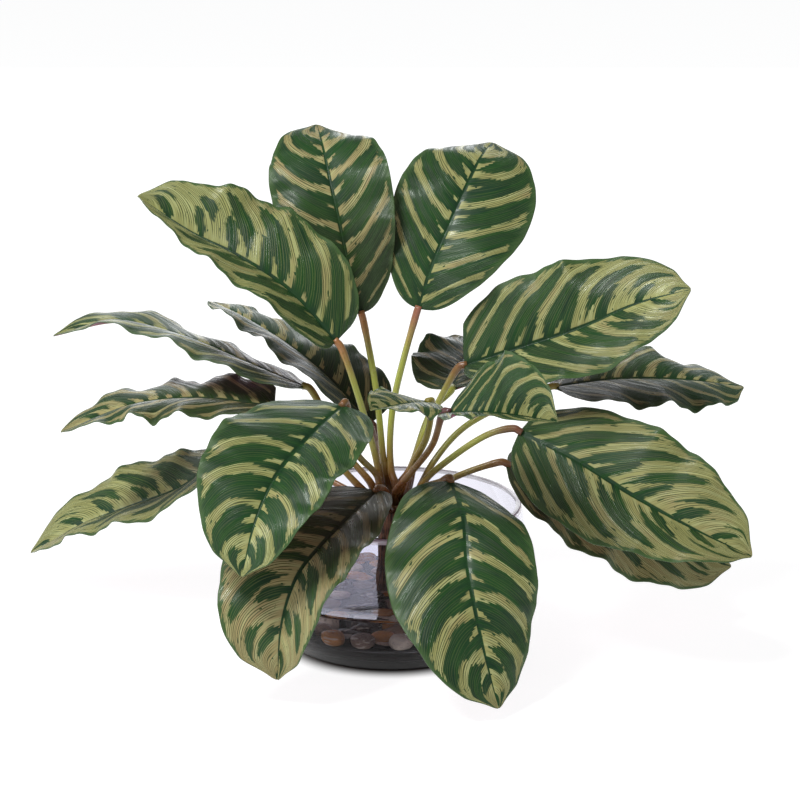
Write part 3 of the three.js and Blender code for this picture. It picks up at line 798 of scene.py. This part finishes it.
def stalk_piece(leaf):
    path, directions = stalk_path(leaf)
    steps = np.linalg.norm(np.diff(path, axis=0), axis=1)
    run = np.concatenate([[0], np.cumsum(steps)])
    left = run[-1] - run
    sheath = smoothstep(run, SHEATH_LENGTH, SHEATH_FULL)
    joint = smoothstep(left, 20, 12) * smoothstep(left, -3, 4)
    radii = STALK_RADIUS * (1 + SHEATH_SWELL * sheath + JOINT_SWELL * joint)
    points, faces = tube(path, directions, radii, STALK_SIDES)
    share = np.append(np.repeat(run / run[-1], STALK_SIDES), [0, 1])
    turn = np.append(np.tile(np.arange(STALK_SIDES) / STALK_SIDES, len(path)), [0, 0])
    uv = np.stack([share, turn], axis=1)
    skin = stalk_material(leaf, run[-1])
    piece = make_piece("stem_" + leaf["name"], [skin], points, faces, uv)
    place_piece(piece, "stalk", "stalk_" + leaf["name"])


def stalk_material(leaf, length):
    """Brown at the crown, green along the middle and reddish at the joint below the blade."""
    material, tree, shader = new_material("stem_skin_" + leaf["name"], Specular_IOR_Level=0.5)
    share, turn = surface_numbers(tree)
    run = share * length
    left = length - run
    patch = clouds(tree, 90.0)
    ribs = streaks(tree, turn * 26, run * 0.03, 2)
    colour = mix(tree, patch.ramp(0.3, 0.7) * 0.4, leaf["middle"], STALK_FLECK)
    colour = mix(tree, (left + patch * 16).ramp(48, 10), colour, leaf["end"])
    colour = mix(tree, (run + patch * 26 - 13).ramp(66, 16), colour, STALK_BASE)
    colour = mix(tree, (run + ribs * 14).ramp(42, 16), colour, STALK_FOOT)
    colour = mix(tree, ribs.ramp(0.45, 0.7) * 0.45, colour, STALK_RIB)
    rough = 0.2 + patch * 0.14
    relief = ribs + patch * 0.3
    finish_surface(tree, shader, colour, rough, relief, distance=0.0002, strength=0.6)
    return material


# Crown

CROWN_ROWS = 90
CROWN_COLUMNS = 120
CROWN_HEAD_ROWS = 16
CROWN_HEAD_POINT = 1.6
CROWN_INSET = 0.05
CROWN_WRAPS = 3
CROWN_WRAP_TWIST = 1.6
CROWN_TORN_EDGE = 0.06

# Height, number round the crown and twist of each set of fibres
CROWN_FIBRES = [(0.012, 37, 9), (0.01, 61, -5)]

# Share of the height, radius and groove depth
CROWN_STEM = [
    [0, CROWN_FOOT_RADIUS * 0.6, 0.05],
    [0.05, CROWN_FOOT_RADIUS, 0.1],
    [0.3, CROWN_NECK_RADIUS, 0.14],
    [0.6, CROWN_NECK_RADIUS * 1.05, 0.14],
    [0.85, CROWN_HEAD_RADIUS * 0.88, 0.1],
    [1, CROWN_HEAD_RADIUS, 0],
]
ROOTS = 9
ROOT_RADII = np.linspace(0.9, 0.35, 16)
ROOT_SIDES = 8
ROOT_MAP = [0.2, 0.3]
FIBRE_DARK = (0.028, 0.012, 0.006)
FIBRE_LIGHT = (0.21, 0.085, 0.038)
FIBRE_WORN = (0.36, 0.18, 0.085)


def crown_piece():
    """The bundle of sheaths, with torn edges that wrap round it and fibres along it."""
    shares, radii, grooves = np.array(CROWN_STEM).T
    angles = np.linspace(0, 2 * math.pi, CROWN_COLUMNS, endpoint=False)

    circle = np.stack([np.cos(angles), np.sin(angles), angles * 0], axis=1)

    def fibres_at(share):
        return sum(
            height * np.sin(angles * count + share * twist)
            for height, count, twist in CROWN_FIBRES
        )

    rings = []
    for share in np.linspace(0, 1, CROWN_ROWS):
        radius = np.interp(share, shares, radii)
        groove = np.interp(share, shares, grooves)
        lobes = groove * np.cos(CROWN_SHEATHS * angles)
        wrap = np.mod(angles / (2 * math.pi) * CROWN_WRAPS + share * CROWN_WRAP_TWIST, 1)
        torn = CROWN_TORN_EDGE * wrap * (1 - smoothstep(share, 0.9, 1))
        reach = radius * (1 + lobes + torn - CROWN_INSET + fibres_at(share))
        rings.append(CROWN_FOOT + (CROWN_HEAD - CROWN_FOOT) * share + circle * reach[:, None])
    for turn in np.linspace(0, math.pi / 2, CROWN_HEAD_ROWS)[1:-1]:
        fibres = fibres_at(1) - CROWN_INSET
        reach = CROWN_HEAD_RADIUS * math.cos(turn) ** CROWN_HEAD_POINT * (1 + fibres)
        rings.append(CROWN_HEAD + UP * CROWN_HEAD_RADIUS * math.sin(turn) + circle * reach[:, None])

    points = np.vstack([*rings, rings[0].mean(0), rings[-1].mean(0)])
    faces = closed_faces(len(rings), CROWN_COLUMNS)
    rows = np.repeat(np.arange(len(rings)) / len(rings), CROWN_COLUMNS)
    turns = np.tile(np.arange(CROWN_COLUMNS) / CROWN_COLUMNS, len(rings))
    uv = np.stack([np.append(rows, [0, 1]), np.append(turns, [0, 0])], axis=1)
    parts = [(points, faces, uv)]
    parts += [(*root, ROOT_MAP) for root in crown_roots()]
    piece = make_piece("crown_bundle", [crown_material()], *join(parts))
    place_piece(piece, "crown", "crown")


def crown_roots():
    """Thin roots that leave the crown in the water and end among the pebbles."""
    draw = random.Random(5)
    roots = []
    for k in range(ROOTS):
        angle = 2 * math.pi * (k + draw.uniform(-0.3, 0.3)) / ROOTS
        out = np.array([math.cos(angle), math.sin(angle), 0])
        middle = CROWN_FOOT + (CROWN_HEAD - CROWN_FOOT) * draw.uniform(0.3, 0.62)
        start = middle + out * CROWN_NECK_RADIUS * 0.7
        reach = draw.uniform(7, 13)
        sway = np.array([draw.uniform(-4, 4), draw.uniform(-4, 4), 0])
        knee = start + out * reach * 0.6 + sway * 0.4 - UP * draw.uniform(4, 9)
        end = CROWN_FOOT + out * (CROWN_FOOT_RADIUS + reach) + sway
        end[2] = PEBBLE_TOP - draw.uniform(2, 5)
        shares = np.linspace(0, 1, len(ROOT_RADII))
        path, directions = curve_at([start, knee, end], shares, 0.5)
        roots.append(tube(path, directions, ROOT_RADII, ROOT_SIDES))
    return roots


def crown_material():
    material, tree, shader = new_material("crown_fibre", Specular_IOR_Level=0.4)
    share, turn = surface_numbers(tree)
    fibres = streaks(tree, turn * 70, share * 5, 3)
    patch = clouds(tree, 120.0)
    colour = mix(tree, fibres.ramp(0.35, 0.7), FIBRE_DARK, FIBRE_LIGHT)
    colour = mix(tree, patch.ramp(0.5, 0.75) * 0.5, colour, FIBRE_WORN)
    rough = 0.45 + fibres * 0.25
    relief = fibres + patch * 0.4
    finish_surface(tree, shader, colour, rough, relief, distance=0.0006, strength=0.8)
    return material


# Bowl and water

LIP_STEPS = 12
FOOT_HOLLOW = 1.2
TINT_START = 50
LIP_START = 97.5
WATER_TOUCH = 0.25

# How far out from the glass, and how high above its level, the water's edge climbs
WATER_CLIMB = [(WATER_TOUCH, 1.2), (-0.6, 0.5), (-2.5, 0)]

# How much each bends light, its shine, the scale and squeeze of its ripples, and their height
GLASS = (1.47, 0.15, 22.0, (1.0, 1.0, 2.5), 0.0008)
WATER = (1.33, 0.05, 18.0, (1.0, 1.0, 1.0), 0.0006)

# Name, share that lets light through and tint: below, above the water and at the lip
GLASS_KINDS = [
    ("clear_glass", 1.0, (0.91, 0.91, 0.96)),
    ("tinted_glass", 1.0, (0.76, 0.755, 0.83)),
    ("clouded_lip", 0.5, (0.91, 0.91, 0.96)),
]
WATER_TINT = (0.9, 0.9, 0.95)


def wall_curves(steps):
    """The outer and the inner curve of the bowl's wall, from below to the rim."""
    outer = bezier([
        (BOWL_FOOT_RADIUS, 0),
        (BOWL_RIM_RADIUS, 2),
        (BOWL_BELLY_CONTROL_RADIUS, BOWL_HEIGHT * 0.6),
        (BOWL_RIM_RADIUS, BOWL_HEIGHT),
    ], steps)
    inner = bezier([
        (BOWL_FLOOR_RADIUS, BOWL_FLOOR_HEIGHT),
        (BOWL_RIM_RADIUS, BOWL_FLOOR_HEIGHT + 1),
        (BOWL_BELLY_CONTROL_RADIUS - BOWL_WALL, BOWL_HEIGHT * 0.6),
        (BOWL_RIM_RADIUS - BOWL_WALL, BOWL_HEIGHT),
    ], steps)
    return outer, inner


def inner_radius_at(height):
    inner = wall_curves(WALL_LOOKUP_STEPS)[1]
    return np.interp(height, inner[:, 1], inner[:, 0])


def bowl_piece():
    outer, inner = wall_curves(WALL_STEPS)
    lip = [
        (BOWL_RIM_RADIUS - BOWL_WALL / 2 * (1 - math.cos(turn)), BOWL_HEIGHT + math.sin(turn))
        for turn in np.linspace(0, math.pi, LIP_STEPS + 1)[1:-1]
    ]
    foot = [
        (0, FOOT_HOLLOW),
        (BOWL_FOOT_RADIUS - 12, FOOT_HOLLOW),
        (BOWL_FOOT_RADIUS - 8, 0),
        (BOWL_FOOT_RADIUS - 3, 0),
    ]
    profile = [*foot, *outer, *lip, *inner[::-1], (0, BOWL_FLOOR_HEIGHT)]
    kinds = [clear_material(*kind, *GLASS) for kind in GLASS_KINDS]
    piece = make_piece("glass_bowl", kinds, *lathe(profile))
    heights = [face.center.z / MM for face in piece.data.polygons]
    levels = [int(height > TINT_START) + int(height > LIP_START) for height in heights]
    piece.data.polygons.foreach_set("material_index", levels)
    place_piece(piece, "glass", "bowl")


def clear_material(name, clear, tint, bending, shine, scale, squeeze, height):
    """Glass or water, with slow ripples."""
    material, tree, shader = new_material(
        name,
        Base_Color=tint,
        Transmission_Weight=clear,
        IOR=bending,
        Roughness=0.0,
        Specular_Tint=(shine, shine, shine),
    )
    add_bump(tree, shader, clouds(tree, scale, 1.0, squeeze), distance=height, strength=0.08)
    return material


def water_piece():
    """Water up to its level, in touch with the glass, round the pebbles and the crown."""
    inner = wall_curves(WALL_STEPS)[1]
    wet = inner[inner[:, 1] < WATER_LEVEL - 0.5]
    edge = inner_radius_at(WATER_LEVEL)
    bottom = BOWL_FLOOR_HEIGHT - WATER_TOUCH
    profile = [(0, bottom), (wet[0][0] + WATER_TOUCH, bottom)]
    profile += [(radius + WATER_TOUCH, height) for radius, height in wet[1:]]
    profile += [(edge + out, WATER_LEVEL + rise) for out, rise in WATER_CLIMB]
    profile += [(edge * share, WATER_LEVEL) for share in (0.8, 0.5, 0.2, 0)]
    material = clear_material("still_water", 1.0, WATER_TINT, *WATER)
    piece = make_piece("clear_water", [material], *lathe(profile))
    place_piece(piece, "water", "water")


# Pebbles

PEBBLE_ROWS = 14
PEBBLE_COLUMNS = 22
PEBBLE_LUMP_SCALE = 1.1
PEBBLE_LUMP_HEIGHT = 0.16
PEBBLE_SQUARENESS = 0.93
# A near-black fill between the pebbles, as painted shade in their gaps: its top, dip, sides and tone
GAP_SHADE_TOP = 25
GAP_SHADE_DIP = 3
GAP_SHADE_SIDES = 90
GAP_SHADE_TONE = 0.69

# Radius, height and number of each ring of the smaller pebbles
FILLER_RINGS = [(12, 22, 4), (31, 22, 9), (49, 21, 14), (60, 18, 22), (30, 15, 10), (48, 15, 18)]
PEBBLE_TONES = [
    (0.05, 0.03, 0.02),
    (0.26, 0.16, 0.1),
    (0.44, 0.19, 0.055),
    (0.08, 0.058, 0.045),
    (0.62, 0.52, 0.4),
    (0.015, 0.011, 0.009),
    (0.2, 0.135, 0.1),
    (0.52, 0.25, 0.08),
]
STONE_SPECK = (0.05, 0.035, 0.028)
STONE_BAND = (0.55, 0.47, 0.38)


def seeded_random(seed):
    """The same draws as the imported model's, so that each pebble lies where its solid does."""
    state = seed
    while True:
        state = (state * 1664525 + 1013904223) % 4294967296
        yield state / 4294967296


def pebble_places():
    """Centre, half sizes and turn of each pebble of the bed."""
    draws = seeded_random(PEBBLE_SEED)

    def between(low, high):
        return low + (high - low) * next(draws)

    floor = BOWL_FLOOR_HEIGHT + GAP
    low_row = floor + PEBBLE_HALF_HEIGHT + 2
    top_row = PEBBLE_TOP - PEBBLE_HALF_HEIGHT - 0.5

    def wall_at(height):
        return inner_radius_at(height) - GAP - PEBBLE_HALF_LENGTH

    rings = [(radius, top_row - 1) for radius in PEBBLE_RING_RADII]
    rings.append((wall_at(top_row) - 1, top_row))
    rings.append((wall_at(low_row) - 4, low_row))
    places = []
    for radius, height in rings:
        count = int(2 * math.pi * radius / PEBBLE_SPACING)
        start = next(draws)
        for k in range(count):
            shake = between(-PEBBLE_PLACE_SHAKE, PEBBLE_PLACE_SHAKE)
            angle = (k + start + shake) / count * 2 * math.pi
            reach = radius - between(0, PEBBLE_REACH_SHAKE)
            size = (
                PEBBLE_HALF_LENGTH * between(0.85, 1),
                PEBBLE_HALF_LENGTH * between(0.8, 0.95),
                PEBBLE_HALF_HEIGHT * between(0.9, 1.08),
            )
            turn = between(0, math.pi)
            centre = (reach * math.cos(angle), reach * math.sin(angle), height)
            places.append((centre, size, turn))
    return places


def filler_places():
    """Smaller pebbles in the gaps of the bed, below its top."""
    draw = random.Random(3)
    places = []
    for radius, height, count in FILLER_RINGS:
        for k in range(count):
            angle = 2 * math.pi * (k + draw.uniform(-0.25, 0.25)) / count
            half = draw.uniform(5, 7.5)
            size = (half, half * draw.uniform(0.75, 1), half * draw.uniform(0.55, 0.75))
            centre = (radius * math.cos(angle), radius * math.sin(angle), height)
            places.append((centre, size, draw.uniform(0, math.pi)))
    return places


def gap_shade_profile(draw):
    """Outline of the near-black fill of painted shade between the pebbles, turned about Z."""
    floor = BOWL_FLOOR_HEIGHT + GAP
    rim = inner_radius_at(GAP_SHADE_TOP) - 4
    low_top = GAP_SHADE_TOP - GAP_SHADE_DIP
    top = [
        (rim * share, low_top + draw.uniform(-1.5, 1.5))
        for share in (0.9, 0.75, 0.6, 0.45, 0.3, 0.15)
    ]
    side = [(inner_radius_at(height) - 1.5, height) for height in (12, 14, 17, 20)]
    return [(0, floor), (BOWL_FLOOR_RADIUS - 2, floor), *side, *top, (0, low_top)]


def pebble_piece():
    """All the pebbles, and a near-black fill of painted shade between them.
    The map's first number picks a stone's tone.
    """
    falls = np.linspace(0, math.pi, PEBBLE_ROWS + 1)
    sphere, sphere_faces = lathe(np.stack([np.sin(falls), -np.cos(falls)], axis=1), PEBBLE_COLUMNS)
    parts = []
    draw = random.Random(8)
    for centre, size, turn in pebble_places() + filler_places():
        seed = Vector([draw.uniform(0, 90) for _ in range(3)])
        lumps = np.array([
            1 + PEBBLE_LUMP_HEIGHT * noise.noise(Vector(point) * PEBBLE_LUMP_SCALE + seed)
            for point in sphere
        ])
        squarish = np.sign(sphere) * np.abs(sphere) ** PEBBLE_SQUARENESS
        shape = squarish * lumps[:, None] * np.array(size)
        cos, sin = math.cos(turn), math.sin(turn)
        turned = shape @ np.array([[cos, sin, 0], [-sin, cos, 0], [0, 0, 1]])
        parts.append((turned + centre, sphere_faces, [draw.random(), draw.random()]))
    # The near-black fill of painted shade between the pebbles
    parts.append((*lathe(gap_shade_profile(draw), GAP_SHADE_SIDES), [GAP_SHADE_TONE, 0]))
    points, faces, uv = join(parts)
    in_bed = keep_in_box(points, "pebble_bed")
    piece = make_piece("river_pebbles", [pebble_material()], in_bed, faces, uv)
    place_piece(piece, "pebbles", "pebble_bed")


def pebble_material():
    material, tree, shader = new_material("wet_stone", Specular_IOR_Level=0.06)
    tone, kind = surface_numbers(tree)
    ramp = add_node(tree, "ValToRGB", {0: tone})
    ramp.color_ramp.interpolation = "CONSTANT"
    marks = ramp.color_ramp.elements
    marks[1].position = 1 / len(PEBBLE_TONES)
    for _ in PEBBLE_TONES[2:]:
        marks.new(0.5)
    for k, colour in enumerate(PEBBLE_TONES):
        marks[k].position = k / len(PEBBLE_TONES)
        marks[k].color = (*colour, 1)
    stone = Number(tree, ramp.outputs[0])
    speck = clouds(tree, 420.0, 4.0)
    band = clouds(tree, 130.0, 2.0, (1.0, 1.0, 4.0))
    colour = mix(tree, speck.ramp(0.52, 0.72) * 0.45, stone, STONE_SPECK)
    colour = mix(tree, band.ramp(0.55, 0.62) * kind.ramp(0.5, 0.6) * 0.6, colour, STONE_BAND)
    finish_surface(tree, shader, colour, 0.25 + speck * 0.3, speck, distance=0.0003, strength=0.5)
    return material


# Floor, light and camera

# Lengths here are in metres, except the camera's.
FLOOR_HALF = 14.0
FLOOR_DROP = 0.0002
FLOOR_WHITE = (0.36, 0.36, 0.36)
# Colour of the painted contact shadow below the bowl
FLOOR_PAINTED_SHADOW = (0.06, 0.038, 0.026)
FLOOR_GLOW = 0.88
# Radii where the painted contact shadow fades into the white, glowing floor
SHADOW_START = 0.068
SHADOW_END = 0.088
SKY_COLOUR = (0.96, 0.98, 1.0)
SKY_TOP = 0.16
SKY_RISE = 0.32
HORIZON_RISE = 0.5
LIGHT_TARGET = (0, 0, 0.15)

# Name, place, size, power and colour
LIGHTS = [
    ("key", (-0.9, -0.9, 2.2), 0.75, 54, (1.0, 1.0, 1.0)),
    ("side", (-2.2, -0.2, 0.9), 0.8, 10, (0.92, 0.97, 1.0)),
    ("back", (0.0, 3.0, 0.95), 1.8, 21, (0.95, 0.96, 1.0)),
]
CAMERA_DISTANCE = 1800
CAMERA_PITCH = math.radians(14.5)
CAMERA_TARGET = np.array([6.3, 0.0, 175.0])
MM_PER_PIXEL = 0.70
PICTURE_SIDE = 800
SENSOR = 36.0


def add_stage():
    """A pale floor that glows a little, with a painted contact shadow below the bowl: dark there and
    without glow.
    """
    mesh = bpy.data.meshes.new("studio_floor")
    corners = [
        (FLOOR_HALF * x, FLOOR_HALF * y, -FLOOR_DROP)
        for x, y in ((-1, -1), (1, -1), (1, 1), (-1, 1))
    ]
    mesh.from_pydata(corners, [], [(0, 1, 2, 3)])
    floor = add_object("studio_floor", mesh)
    material, tree, shader = new_material(
        "studio_white",
        Roughness=0.9,
        Specular_IOR_Level=0.0,
        Emission_Color=(1.0, 1.0, 1.0),
    )
    where = add_node(tree, "TexCoord", {}).outputs["Object"]
    reach = add_node(tree, "VectorMath", {0: where}, operation="LENGTH")
    # Painted contact shadow: a dark disc without glow below the bowl
    open_floor = Number(tree, reach.outputs["Value"]).ramp(SHADOW_START, SHADOW_END)
    feed(tree, mix(tree, open_floor, FLOOR_PAINTED_SHADOW, FLOOR_WHITE), shader.inputs["Base Color"])
    feed(tree, open_floor * FLOOR_GLOW, shader.inputs["Emission Strength"])
    mesh.materials.append(material)


def add_light(name, place, size, power, colour):
    data = bpy.data.lights.new(name, "AREA")
    data.shape = "SQUARE"
    data.size = size
    data.energy = power
    data.color = colour
    light = add_object(name, data)
    light.location = place
    aim = Vector(LIGHT_TARGET) - Vector(place)
    light.rotation_euler = aim.to_track_quat("-Z", "Y").to_euler()


def add_lights():
    """A sky that brightens towards and below the horizon, so that the floor has no visible edge."""
    world = bpy.data.worlds.new("studio")
    world.use_nodes = True
    tree = world.node_tree
    sky = tree.nodes["Background"]
    where = add_node(tree, "TexCoord", {}).outputs["Generated"]
    height = Number(tree, add_node(tree, "SeparateXYZ", {0: where}).outputs[2])
    strength = SKY_TOP + height.ramp(0.9, -0.1) * SKY_RISE + height.ramp(0.1, 0.0) * HORIZON_RISE
    feed(tree, SKY_COLOUR, sky.inputs["Color"])
    feed(tree, strength, sky.inputs["Strength"])
    bpy.context.scene.world = world
    for light in LIGHTS:
        add_light(*light)


def add_camera():
    data = bpy.data.cameras.new("camera")
    data.sensor_width = SENSOR
    data.lens = SENSOR * CAMERA_DISTANCE / MM_PER_PIXEL / PICTURE_SIDE
    data.clip_end = 60
    camera = add_object("camera", data)
    back = np.array([0, -math.cos(CAMERA_PITCH), math.sin(CAMERA_PITCH)])
    camera.location = (CAMERA_TARGET + back * CAMERA_DISTANCE) * MM
    camera.rotation_euler = (math.pi / 2 - CAMERA_PITCH, 0, 0)
    bpy.context.scene.camera = camera


add_camera()
add_stage()
add_lights()
for leaf in LEAVES:
    blade_piece(leaf)
    stalk_piece(leaf)
crown_piece()
pebble_piece()
water_piece()
bowl_piece()

bpy.context.scene.view_settings.view_transform = "Standard"
